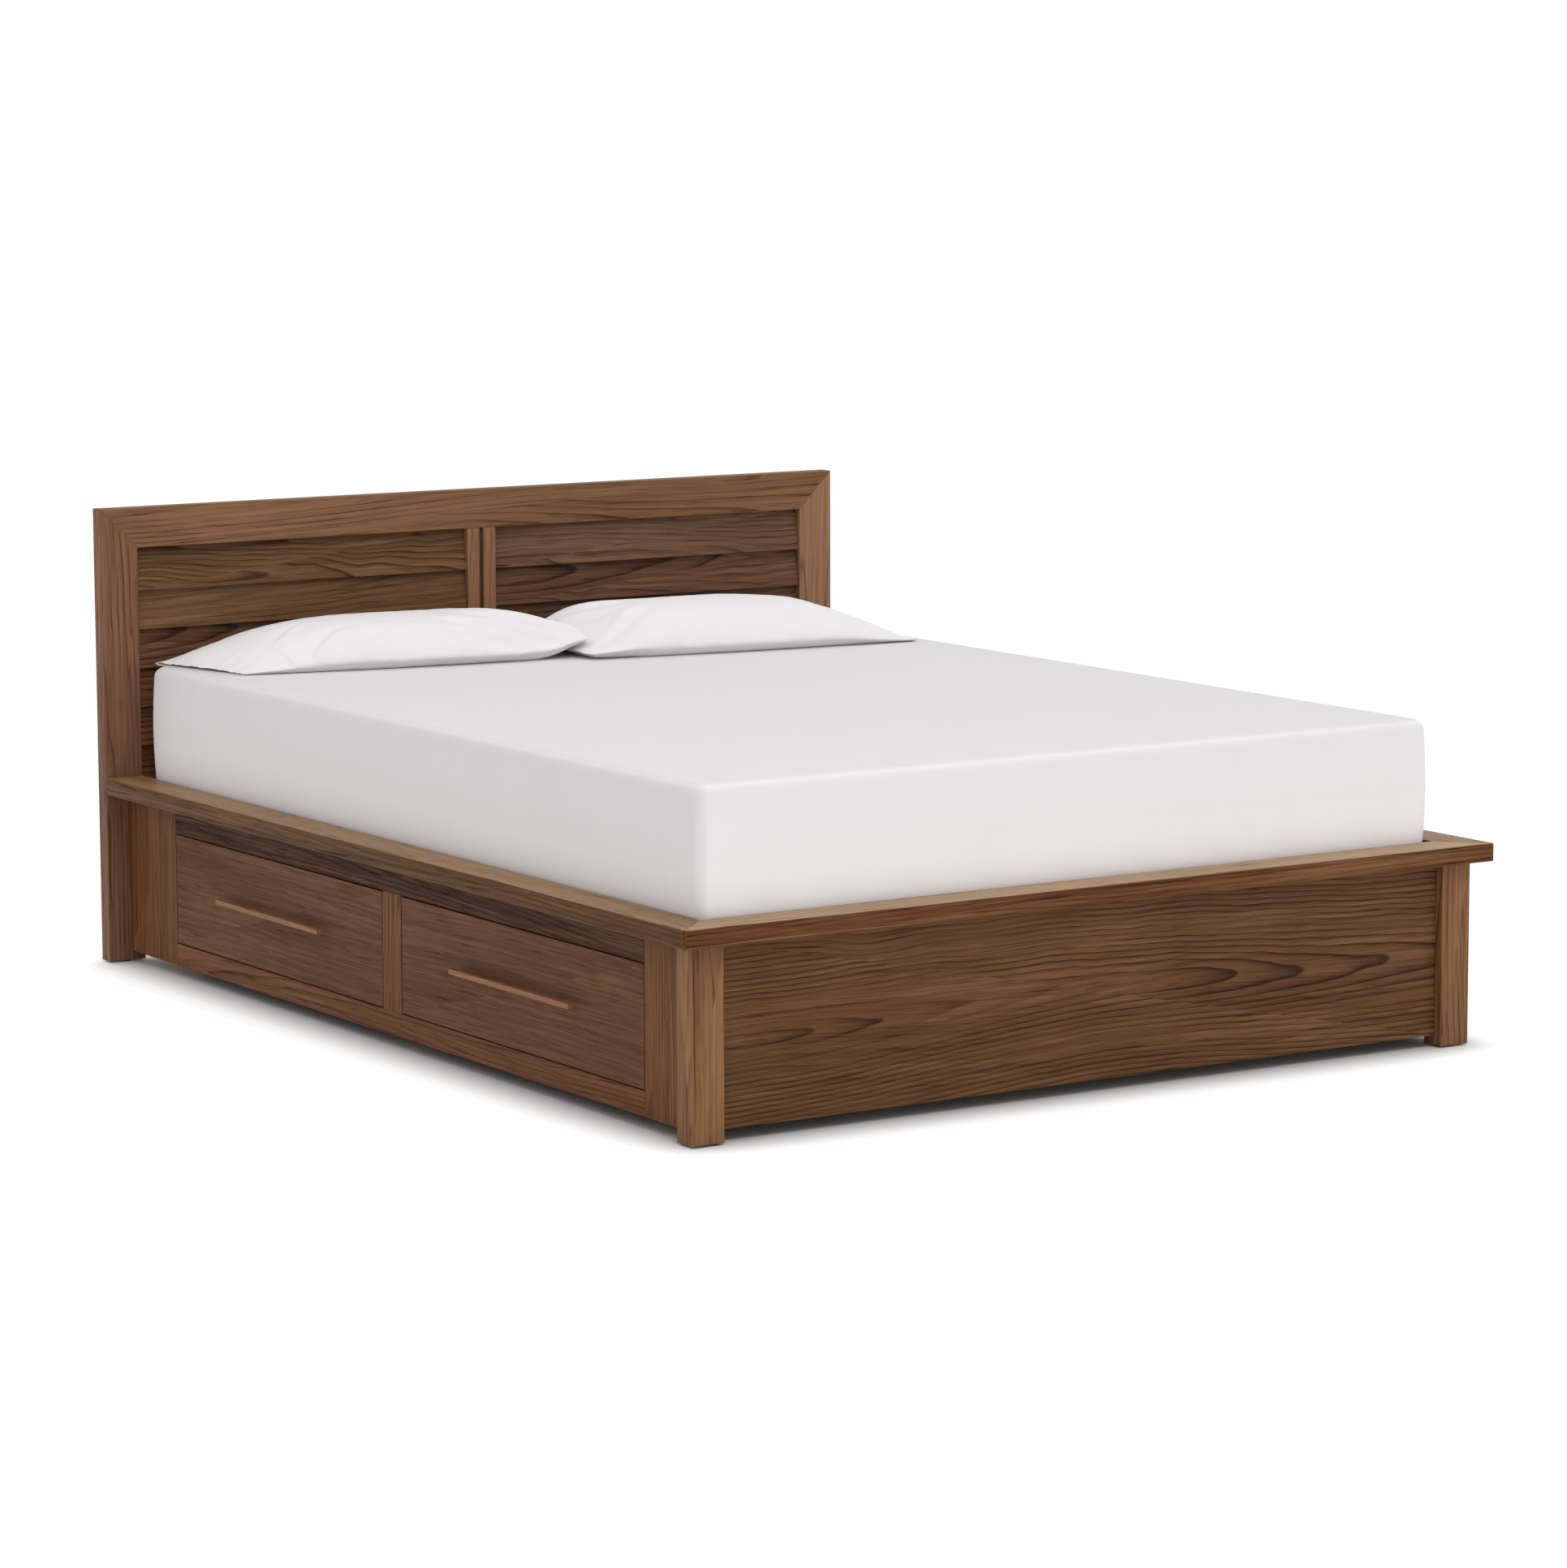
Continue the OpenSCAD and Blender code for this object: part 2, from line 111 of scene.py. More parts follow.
class Graph:
    """A material's node tree, with a short call for each kind of node used."""

    def __init__(self, name, roughness=0.5, specular=0.5, metallic=0.0, sheen=0.0):
        self.material = bpy.data.materials.new(name)
        self.material.use_nodes = True
        self.nodes = self.material.node_tree.nodes
        self.links = self.material.node_tree.links
        self.shader = self.nodes["Principled BSDF"]
        self.shader.inputs["Roughness"].default_value = roughness
        self.shader.inputs["Specular IOR Level"].default_value = specular
        self.shader.inputs["Metallic"].default_value = metallic
        self.shader.inputs["Sheen Weight"].default_value = sheen

    def put(self, socket, value):
        """Links a socket to another one, or sets its value."""
        if isinstance(value, bpy.types.NodeSocket):
            self.links.new(value, socket)
        else:
            socket.default_value = value

    def math(self, operation, a, b=0.0, c=0.0):
        node = self.nodes.new("ShaderNodeMath")
        node.operation = operation
        for socket, value in zip(node.inputs, (a, b, c)):
            self.put(socket, value)
        return node.outputs[0]

    def scaled(self, value, gain, offset=0.0):
        """value times gain, plus offset."""
        return self.math("MULTIPLY_ADD", value, gain, offset)

    def total(self, *terms):
        result = terms[0]
        for term in terms[1:]:
            result = self.math("ADD", result, term)
        return result

    def point(self):
        """The surface point in the row frame, as three sockets."""
        place = self.nodes.new("ShaderNodeTexCoord").outputs["Object"]
        split = self.nodes.new("ShaderNodeSeparateXYZ")
        self.links.new(place, split.inputs[0])
        return dict(zip("XYZ", split.outputs))

    def island(self):
        """A random number for each separate solid of a piece."""
        return self.nodes.new("ShaderNodeNewGeometry").outputs["Random Per Island"]

    def vector(self, x, y, z):
        node = self.nodes.new("ShaderNodeCombineXYZ")
        for socket, value in zip(node.inputs, (x, y, z)):
            self.put(socket, value)
        return node.outputs[0]

    def noise(self, place, scale=1.0, detail=2.0, roughness=0.5, distortion=0.0):
        node = self.nodes.new("ShaderNodeTexNoise")
        self.put(node.inputs["Vector"], place)
        node.inputs["Scale"].default_value = scale
        node.inputs["Detail"].default_value = detail
        node.inputs["Roughness"].default_value = roughness
        node.inputs["Distortion"].default_value = distortion
        return node.outputs["Fac"]

    def voronoi(self, place):
        node = self.nodes.new("ShaderNodeTexVoronoi")
        self.put(node.inputs["Vector"], place)
        node.inputs["Scale"].default_value = 1.0
        return node.outputs["Distance"], node.outputs["Color"]

    def step(self, value, low, high):
        """0 below low and 1 above high, or the other way where low is above high."""
        node = self.nodes.new("ShaderNodeMapRange")
        node.interpolation_type = "SMOOTHSTEP"
        self.put(node.inputs["Value"], value)
        if low < high:
            node.inputs["From Min"].default_value = low
            node.inputs["From Max"].default_value = high
            return node.outputs["Result"]
        node.inputs["From Min"].default_value = high
        node.inputs["From Max"].default_value = low
        node.inputs["To Min"].default_value = 1.0
        node.inputs["To Max"].default_value = 0.0
        return node.outputs["Result"]

    def ramp(self, value, stops, interpolation="LINEAR"):
        node = self.nodes.new("ShaderNodeValToRGB")
        node.color_ramp.interpolation = interpolation
        self.put(node.inputs[0], value)
        elements = node.color_ramp.elements
        while len(elements) < len(stops):
            elements.new(0.5)
        for element, (place, colour) in zip(elements, stops):
            element.position = place
            element.color = colour if len(colour) == 4 else (*colour, 1.0)
        return node.outputs["Color"]

    def blend(self, share, a, b, kind="MIX"):
        node = self.nodes.new("ShaderNodeMix")
        node.data_type = "RGBA"
        node.blend_type = kind
        self.put(node.inputs[0], share)
        self.put(node.inputs[6], a)
        self.put(node.inputs[7], b)
        return node.outputs[2]

    def finish(self, colour, roughness, height, depth, strength):
        """Joins up the shader: height is the relief, depth metres deep where strength is 1."""
        self.put(self.shader.inputs["Base Color"], colour)
        self.put(self.shader.inputs["Roughness"], roughness)
        bump = self.nodes.new("ShaderNodeBump")
        bump.inputs["Strength"].default_value = strength
        bump.inputs["Distance"].default_value = depth
        self.links.new(height, bump.inputs["Height"])
        self.links.new(bump.outputs["Normal"], self.shader.inputs["Normal"])
        return self.material


def grey(value):
    """A linear grey."""
    return (value, value, value, 1.0)


# ---------------------------------------------------------------- walnut

def walnut(name, node, axes, tone, seed, spacing=0.009, swirl=0.012, wave=0.003, figure=0.6, contrast=1.0,
           knots=0.0, heart=None, boards=None, upper_tone=None, specular=WALNUT_SPECULAR,
           roughness=WALNUT_ROUGHNESS):
    """Satin walnut for a CAD node. axes names the directions along the grain, across it and into
    the board. heart is how far to one side of the board's middle the heart of its log lay, and is
    drawn by chance where it is None. spacing is the ring spacing, swirl how far the rings wander over
    the board's whole length and wave how far they waver over a hand's width, all in metres; figure is
    how dark they are. boards is (lowest edge, pitch, tones) for a stack of boards that differ, with
    painted shade on each board's upper part, and the top tone is painted on the piece's top face as
    painted light and reflection."""
    g = Graph(name, specular=specular)
    place = g.point()
    along, across, into = (place[axis] for axis in axes)
    piece = g.scaled(g.island(), 17.3, seed * 3.71)
    if boards:
        lowest, pitch, tones = boards
        level = g.math("MINIMUM", g.scaled(place["Z"], 1 / pitch, -lowest / pitch), len(tones) - 0.001)
        piece = g.math("ADD", piece, g.scaled(g.math("FLOOR", level), 5.37))
    along = g.math("ADD", along, piece)

    # How far each point is from the heart of the log, which wanders along the board
    low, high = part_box(node)
    middle = dict(zip("XYZ", (low + high) / 2))
    if boards:
        beside = g.scaled(g.math("FRACT", level), pitch, -pitch / 2)
    else:
        beside = g.scaled(across, 1.0, -middle[axes[1]])
    if heart is None:
        beside = g.math("ADD", beside, g.scaled(g.math("SINE", g.scaled(piece, 9.1)), HEART_SPREAD))
    else:
        beside = g.scaled(beside, 1.0, heart)
    drift = g.noise(g.vector(g.scaled(along, 0.55), piece, 0.0), detail=1.0)
    wander = g.noise(g.vector(g.scaled(along, 0.9), g.scaled(across, 4.5), g.scaled(into, 4.5)),
                     detail=1.0, roughness=0.4)
    waver = g.noise(g.vector(g.scaled(along, 5.0), g.scaled(across, 9.0), g.scaled(into, 9.0)),
                    detail=2.0, roughness=0.45)
    waver = g.scaled(waver, 2 * wave, -wave)
    side = g.total(beside, g.scaled(drift, 0.20, -0.10), waver)
    deep = g.total(g.scaled(into, 1.0, -middle[axes[2]]), g.scaled(place[axes[0]], HEART_SLOPE), waver,
                   g.scaled(wander, swirl * 2, HEART_DEPTH - swirl))
    flow = g.math("SQRT", g.math("ADD", g.math("MULTIPLY", side, side), g.math("MULTIPLY", deep, deep)))
    fibre_side = g.total(across, g.scaled(wander, 0.08), waver)
    if knots:
        spots, pick = g.voronoi(g.vector(g.scaled(along, 2.0), g.scaled(across, 6.0), piece))
        picked = g.step(pick, 0.56, 0.60)
        near = g.math("MULTIPLY", g.step(spots, 0.28, 0.02), picked)
        knot = g.math("MULTIPLY", g.step(spots, 0.050, 0.02), picked)
        flow = g.math("ADD", flow, g.scaled(near, 0.024 * knots))
        fibre_side = g.math("ADD", fibre_side, g.scaled(near, 0.024 * knots))

    # Rings and bands follow that distance; streaks, fibres and pores run along the board
    phase = g.math("FRACT", g.scaled(flow, 1 / spacing))
    latewood = g.ramp(phase, [(at, grey(dark)) for at, dark in LATEWOOD])
    faint = g.noise(g.vector(g.scaled(along, 1.6), g.scaled(flow, 26.0), piece), detail=2.0)
    bands = g.noise(g.vector(g.scaled(along, 0.8), g.scaled(fibre_side, 24.0), g.scaled(into, 24.0)),
                    detail=3.0, roughness=0.6)
    streaks = g.noise(g.vector(g.scaled(along, 1.5), g.scaled(fibre_side, 105.0), g.scaled(into, 105.0)),
                      detail=2.0, roughness=0.65)
    fibres = g.noise(g.vector(g.scaled(along, 5.0), g.scaled(fibre_side, 230.0), g.scaled(into, 230.0)),
                     detail=2.0, roughness=0.65)
    pores = g.noise(g.vector(g.scaled(along, 12.0), g.scaled(fibre_side, 340.0), g.scaled(into, 340.0)),
                    detail=1.0)
    pores = g.step(pores, 0.57, 0.68)
    clouds = g.noise(g.vector(g.scaled(along, 2.0), g.scaled(across, 4.0), into), detail=2.0)

    rings = g.math("MULTIPLY", latewood, g.step(faint, 0.25, 0.60))
    value = g.total(
        g.scaled(rings, -0.55 * figure, 0.60),
        g.scaled(bands, 0.46 * contrast, -0.23 * contrast),
        g.scaled(streaks, 0.50 * contrast, -0.25 * contrast),
        g.scaled(fibres, 0.50 * contrast, -0.25 * contrast),
        g.scaled(clouds, 0.40 * contrast, -0.20 * contrast),
        g.scaled(pores, -0.16 * contrast),
    )
    if knots:
        value = g.math("ADD", value, g.scaled(knot, -0.8 * knots))
    if boards:
        share = g.scaled(level, 1 / len(tones))
        base = g.ramp(share, [(i / len(tones), srgb(*t)) for i, t in enumerate(tones)], "CONSTANT")
        # Painted shade: the upper part of a board, under the next one, is darker
        shadow = g.ramp(g.math("FRACT", level),
                        [(0.0, grey(1.0)), (0.55, grey(1.0)), (1.0, grey(BOARD_SHADE))])
        base = g.blend(1.0, base, shadow, "MULTIPLY")
    else:
        base = srgb(*tone)
    # Painted light: a lighter tone painted on the piece's top face, for light from above and a painted
    # reflection of the sheet
    if upper_tone:
        upper = g.step(place["Z"], high.z - 1.5 * MM, high.z - 0.5 * MM)
        base = g.blend(upper, base, srgb(*upper_tone))
    shade = g.ramp(value, WALNUT_SHADES)
    colour = g.blend(1.0, base, shade, "MULTIPLY")
    colour = g.blend(g.ramp(value, [(0.52, grey(0.0)), (1.05, grey(1.0))]), colour,
                     g.blend(1.0, base, WALNUT_SAP, "ADD"))
    gloss = g.total(g.scaled(bands, 0.16, roughness - 0.08), g.scaled(pores, 0.16), g.scaled(fibres, 0.10))
    height = g.total(g.scaled(fibres, 0.5), g.scaled(pores, -0.8), g.scaled(streaks, 0.4))
    return g.finish(colour, gloss, height, depth=0.4 * MM, strength=0.4)


# ---------------------------------------------------------------- other hard materials

# The thickness of two plies
PLY_PITCH = 2.8 * MM


def pale_timber(name, axes, tone, plies=False):
    """Clear-finished maple, or birch plywood with its plies showing on cut edges."""
    g = Graph(name, roughness=0.45, specular=0.3)
    place = g.point()
    along, across, into = (place[axis] for axis in axes)
    piece = g.scaled(g.island(), 9.7)
    along = g.math("ADD", along, piece)
    figure = g.noise(g.vector(g.scaled(along, 1.1), g.scaled(across, 9.0), g.scaled(into, 9.0)),
                     detail=3.0, distortion=0.5)
    rings = g.math("FRACT", g.scaled(figure, 9.0))
    streaks = g.noise(g.vector(g.scaled(along, 4.0), g.scaled(across, 160.0), g.scaled(into, 160.0)),
                      detail=3.0)
    fibres = g.noise(g.vector(g.scaled(along, 20.0), g.scaled(across, 700.0), g.scaled(into, 700.0)),
                     detail=2.0)
    value = g.total(g.scaled(rings, 0.22, 0.32), g.scaled(streaks, 0.45, -0.2),
                    g.scaled(fibres, 0.2, -0.1))
    colour = g.ramp(value, [(0.0, srgb(*tone, gain=0.62)), (0.5, srgb(*tone)),
                            (1.0, srgb(*tone, gain=1.25))])
    if plies:
        layers = g.step(g.math("FRACT", g.scaled(place["Z"], 1 / PLY_PITCH)), 0.42, 0.58)
        dark = g.ramp(g.scaled(layers, 0.25, 0.78), [(0.0, grey(0.3)), (1.0, grey(1.0))])
        colour = g.blend(0.35, colour, g.blend(1.0, colour, dark, "MULTIPLY"))
    roughness = g.scaled(streaks, 0.18, 0.36)
    height = g.total(fibres, g.scaled(streaks, 0.5))
    return g.finish(colour, roughness, height, depth=0.2 * MM, strength=0.3)


def zinc_steel():
    """Bright zinc-plated steel, drawn along its length."""
    g = Graph("zinc_steel", roughness=0.32, metallic=1.0)
    place = g.point()
    x, y, z = (place[axis] for axis in "XYZ")
    drawn = g.noise(g.vector(g.scaled(x, 6.0), g.scaled(y, 60.0), g.scaled(z, 420.0)), detail=3.0)
    spangle = g.noise(g.vector(x, y, z), scale=90.0, detail=2.0)
    colour = g.ramp(g.total(g.scaled(drawn, 0.6), g.scaled(spangle, 0.4)),
                    [(0.25, (0.42, 0.43, 0.45)), (0.75, (0.68, 0.69, 0.70))])
    return g.finish(colour, g.scaled(drawn, 0.3, 0.2), drawn, depth=0.1 * MM, strength=0.3)


def black_nylon():
    """Moulded nylon of the floor glides."""
    g = Graph("black_nylon", roughness=0.5, specular=0.4)
    place = g.point()
    grain = g.noise(g.vector(place["X"], place["Y"], place["Z"]), scale=900.0, detail=2.0)
    wear = g.noise(g.vector(place["X"], place["Y"], place["Z"]), scale=60.0, detail=3.0)
    colour = g.ramp(wear, [(0.3, (0.018, 0.018, 0.020)), (0.75, (0.050, 0.050, 0.052))])
    return g.finish(colour, g.scaled(wear, 0.3, 0.38), grain, depth=0.2 * MM, strength=0.4)


# ---------------------------------------------------------------- cotton

def cotton(name, tone, threads, sheen, painted_light_and_shade=None):
    """Plain-woven cotton, with threads per metre along X and along Y.
    painted light and shade lists, for an axis, places along it and how much brighter or darker the cloth is
    painted there."""
    g = Graph(name, roughness=0.72, specular=0.18, sheen=sheen)
    g.shader.inputs["Sheen Roughness"].default_value = 0.45
    place = g.point()
    x, y, z = (place[axis] for axis in "XYZ")
    first, second = (g.scaled(way, threads * 2 * math.pi) for way in (x, y))
    slub = g.noise(g.vector(g.scaled(x, 30.0), g.scaled(y, 900.0), z), detail=2.0)
    slub_across = g.noise(g.vector(g.scaled(x, 900.0), g.scaled(y, 30.0), z), detail=2.0)
    weave = g.math("MULTIPLY", g.math("SINE", first), g.math("SINE", second))
    soft = g.noise(g.vector(x, y, z), scale=7.0, detail=3.0)
    lint = g.noise(g.vector(x, y, z), scale=160.0, detail=3.0)
    value = g.total(g.scaled(weave, 0.01, 0.5), g.scaled(slub, 0.30, -0.15),
                    g.scaled(slub_across, 0.30, -0.15), g.scaled(soft, 0.3, -0.15))
    colour = g.ramp(value, [(0.0, srgb(*tone, gain=0.92)), (1.0, srgb(*tone, gain=1.03))])
    # Painted light and shade: the cloth is made brighter or darker along each listed axis
    for axis, stops in (painted_light_and_shade or {}).items():
        (low, _), (high, _) = stops[0], stops[-1]
        share = g.scaled(place[axis], 1 / (high - low), -low / (high - low))
        # A ramp's colours end at 1, so it holds half the gain
        half_gain = g.ramp(share, [((at - low) / (high - low), grey(gain / 2)) for at, gain in stops])
        colour = g.blend(1.0, colour, g.blend(1.0, half_gain, grey(2.0), "MULTIPLY"), "MULTIPLY")
    height = g.total(g.scaled(weave, 0.03), g.scaled(slub, 0.4), g.scaled(slub_across, 0.4),
                     g.scaled(lint, 0.4))
    return g.finish(colour, g.scaled(lint, 0.15, 0.66), height, depth=0.4 * MM, strength=0.35)


# ---------------------------------------------------------------- finishes of the CAD nodes

BOARDS_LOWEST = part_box("headboard_boards_left")[0].z
BOARD_PITCH = 76 * MM

# The platform's edge is rubbed smoother than the rest, and its corners are rounder
PLATFORM_ROUGHNESS = 0.30
PLATFORM_SPECULAR = 0.05

# How far the edges are eased where they aren't eased like the rest
EDGES = {"slide_": 0.4 * MM, "platform_rail": 2.4 * MM, "headboard_lower_rail": 0}
EDGE = 1.4 * MM
# Pieces with round parts, which are shaded smooth
ROUNDED = ("bed_bolts", "glides", "centre_feet", "drawer_pull", "corner_blocks")


def walnut_finishes():
    """The walnut of each CAD node that shows it, by the node's name."""
    finishes = {}

    def board(name, node, axes, tone, seed, **looks):
        base = WALNUT_TONES[tone] if tone else None
        finishes[node] = walnut(f"walnut_{name}", node, axes, base, seed, **looks)

    edge = {"specular": PLATFORM_SPECULAR, "roughness": PLATFORM_ROUGHNESS}
    board_tones = (BOARD_TONES_LEFT, BOARD_TONES_RIGHT)
    for i, side in enumerate(SIDES):
        board(f"post_{side}", f"headboard_post_{side}", "ZXY", f"post_{side}", 11 + i, wave=0.006)
        board(f"boards_{side}", f"headboard_boards_{side}", "XZY", None, 21 + i, swirl=0.03, wave=0.012,
              figure=0.8, knots=0.6, boards=(BOARDS_LOWEST, BOARD_PITCH, board_tones[i]))
        board(f"side_stiles_{side}", f"side_stiles_{side}", "ZYX", "side_stile", 31 + i,
              specular=SIDE_SPECULAR)
        board(f"side_rails_{side}", f"side_rails_{side}", "YZX", None, 41 + i, specular=SIDE_SPECULAR / 2,
              boards=(0.0, RAIL_PITCH, SIDE_RAIL_TONES_AND_SHADE))
        board(f"platform_{side}", f"platform_rail_{side}", "YZX", "platform_side", 51 + i,
              upper_tone=WALNUT_TONES["platform_side_top_painted_light"], **edge)
        board(f"leg_{side}", f"foot_leg_{side}", "ZXY", "leg", 61 + i)
        for j, bay in enumerate(BAYS):
            drawer = f"{side}_{bay}"
            board(f"drawer_{drawer}", f"drawer_front_{drawer}", "YZX", "drawer", 71 + 2 * i + j, wave=0.002,
                  figure=0.15, contrast=0.85, knots=0.2, specular=SIDE_SPECULAR)
            board(f"pull_{drawer}", f"drawer_pull_{drawer}", "YZX", "pull", 81 + 2 * i + j, contrast=0.5)
    board("top_rail", "headboard_top_rail", "XZY", "top_rail", 1)
    board("lower_rail", "headboard_lower_rail", "XZY", "top_rail", 2)
    board("centre", "headboard_centre_stiles", "ZXY", "centre_stile", 3)
    board("spline", "headboard_centre_spline", "ZXY", "drawer", 4)
    board("back_panel", "headboard_back_panel", "XZY", "side_stile", 5, swirl=0.04)
    board("foot_panel", "foot_panel", "XZY", "foot_panel", 6, swirl=0.03, wave=0.007, figure=0.9, knots=0.5,
          heart=0.0)
    board("platform_foot", "platform_rail_foot", "XZY", "platform_foot", 7,
          upper_tone=WALNUT_TONES["platform_foot_top_painted_light"], **edge)
    board("platform_head", "platform_rail_head", "XZY", "platform_foot", 8)
    return finishes


def inner_finishes():
    """The materials of the drawer boxes, the deck, the fittings and the feet, by the node's name."""
    maple_along = pale_timber("maple_x", "XZY", (214, 184, 142))
    maple_across = pale_timber("maple_y", "YZX", (212, 182, 140))
    maple_upright = pale_timber("maple_z", "ZXY", (210, 180, 138))
    birch = pale_timber("birch_ply", "YXZ", (209, 178, 136), plies=True)
    finishes = {"deck_slats": maple_along, "slat_cleats": maple_across, "centre_beam": maple_across,
                "corner_blocks": maple_upright, "centre_feet": maple_upright, "case_partitions": birch,
                "glides": black_nylon()}
    for side in SIDES:
        for bay in BAYS:
            finishes[f"drawer_sides_{side}_{bay}"] = maple_along
            finishes[f"drawer_ends_{side}_{bay}"] = maple_across
            finishes[f"drawer_bottom_{side}_{bay}"] = birch
    steel = zinc_steel()
    for name in NODES:
        if name.startswith("slide_") or name == "bed_bolts":
            finishes[name] = steel
    return finishes


def finish_nodes():
    """Every hard CAD node gets its material and an eased edge."""
    for name, material in {**walnut_finishes(), **inner_finishes()}.items():
        piece = NODES[name]
        piece.data.materials.clear()
        piece.data.materials.append(material)
        width = next((own for start, own in EDGES.items() if name.startswith(start)), EDGE)
        ease(piece, width, rounded=name.startswith(ROUNDED))


def ease(piece, width, rounded):
    """Rounds a CAD node's sharp edges by width, and shades round parts as smooth."""
    weld = piece.modifiers.new("weld", "WELD")
    weld.merge_threshold = 0.01 * MM
    for face in piece.data.polygons:
        face.use_smooth = rounded
    if not width:
        return
    bevel = piece.modifiers.new("eased_edges", "BEVEL")
    bevel.width = width
    bevel.segments = 2
    bevel.limit_method = "ANGLE"
    bevel.angle_limit = math.radians(40)
    bevel.use_clamp_overlap = True
    if rounded:
        normals = piece.modifiers.new("normals", "WEIGHTED_NORMAL")
        normals.weight = 100
        normals.keep_sharp = False


# ---------------------------------------------------------------- soft goods helpers

def mesh_object(name, points, faces, material):
    """A smooth-shaded object made from points and faces."""
    mesh = bpy.data.meshes.new(name)
    mesh.from_pydata([tuple(map(float, p)) for p in points], [], faces)
    mesh.validate()
    mesh.materials.append(material)
    for face in mesh.polygons:
        face.use_smooth = True
    piece = bpy.data.objects.new(name, mesh)
    SCENE.collection.objects.link(piece)
    return piece


def apply_modifiers(piece):
    """Replaces the mesh with what its modifiers make of it."""
    bpy.context.view_layer.update()
    graph = bpy.context.evaluated_depsgraph_get()
    made = bpy.data.meshes.new_from_object(piece.evaluated_get(graph), depsgraph=graph)
    old = piece.data
    piece.modifiers.clear()
    piece.data = made
    bpy.data.meshes.remove(old)
    made.name = piece.name
    for face in made.polygons:
        face.use_smooth = True


def smoothstep(value, low, high):
    """0 at low and 1 at high, eased at both, or the other way where low is above high."""
    share = np.clip((value - low) / (high - low), 0.0, 1.0)
    return share * share * (3 - 2 * share)


# ---------------------------------------------------------------- mattress and fitted sheet

# Radii of the mattress's upright corners and of its top edge
MATTRESS_CORNER = 0.018
MATTRESS_EDGE = 0.020
# How far its sides swell, and where their swelling starts, above the bottom
MATTRESS_BULGE = 0.004
MATTRESS_FOOT = 0.012
# How far inside the sheet the mattress's own top and sides lie
SHEET_GAP = 0.003
SHEET_THICK = 0.0008
OUTLINE_STEP = 0.02
ARC_STEPS = 8
SIDE_STEPS = 8
EDGE_STEPS = 7
TOP_RINGS = 30


def rounded_outline(half_x, half_y, radius):
    """Points round a rectangle with rounded corners, anticlockwise from the +X side."""
    points = []
    corners = [(1, 1, 0), (-1, 1, 90), (-1, -1, 180), (1, -1, 270)]

    def on_corner(sx, sy, degrees):
        angle = math.radians(degrees)
        return (sx * (half_x - radius) + radius * math.cos(angle),
                sy * (half_y - radius) + radius * math.sin(angle))

    for k, (sx, sy, start) in enumerate(corners):
        points += [on_corner(sx, sy, start + 90 * i / ARC_STEPS) for i in range(ARC_STEPS + 1)]
        last = points[-1]
        next_x, next_y, _ = corners[(k + 1) % 4]
        goal = on_corner(next_x, next_y, start + 90)
        count = max(1, round(math.dist(last, goal) / OUTLINE_STEP))
        for i in range(1, count):
            t = i / count
            points.append((last[0] + (goal[0] - last[0]) * t, last[1] + (goal[1] - last[1]) * t))
    return np.array(points)


def bed_shell(inset, profile):
    """A shell round the mattress: rings of its outline, at each (inset, height) of the profile. It
    gives the points, the faces and the number of points in a ring."""
    low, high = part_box("mattress")
    centre = (low + high) / 2
    half = np.array([(high.x - low.x) / 2, (high.y - low.y) / 2])
    outline = rounded_outline(half[0] - inset, half[1] - inset, MATTRESS_CORNER)
    rings = []
    for depth, height in profile:
        ring = outline * (1 - depth / half)
        rings.append(np.column_stack([ring, np.full(len(ring), height)]))
    points = np.concatenate(rings)
    points[:, 0] += centre.x
    points[:, 1] += centre.y
    count = len(outline)
    faces = []
    for r in range(len(rings) - 1):
        for i in range(count):
            j = (i + 1) % count
            faces.append((r * count + i, r * count + j, (r + 1) * count + j, (r + 1) * count + i))
    return points, faces, count


def mattress_profile(bottom, top, half_x):
    """Insets and heights up the side, round the top edge and in over the top."""
    profile = []
    rise = top - bottom - MATTRESS_FOOT - MATTRESS_EDGE
    for i in range(SIDE_STEPS + 1):
        t = i / SIDE_STEPS
        swell = math.sin(math.pi * min(1.0, 0.08 + 0.84 * t))
        profile.append((MATTRESS_BULGE * (1 - swell), bottom + MATTRESS_FOOT + rise * t))
    shoulder = MATTRESS_BULGE * (1 - math.sin(math.pi * 0.92))
    for i in range(1, EDGE_STEPS + 1):
        angle = math.radians(90 * i / EDGE_STEPS)
        profile.append((shoulder + MATTRESS_EDGE * (1 - math.cos(angle)),
                        top - MATTRESS_EDGE + MATTRESS_EDGE * math.sin(angle)))
    side_inset = profile[-1][0]
    for k in range(1, TOP_RINGS):
        profile.append((side_inset + (half_x - side_inset) * (k / TOP_RINGS) ** 1.25, top))
    return profile


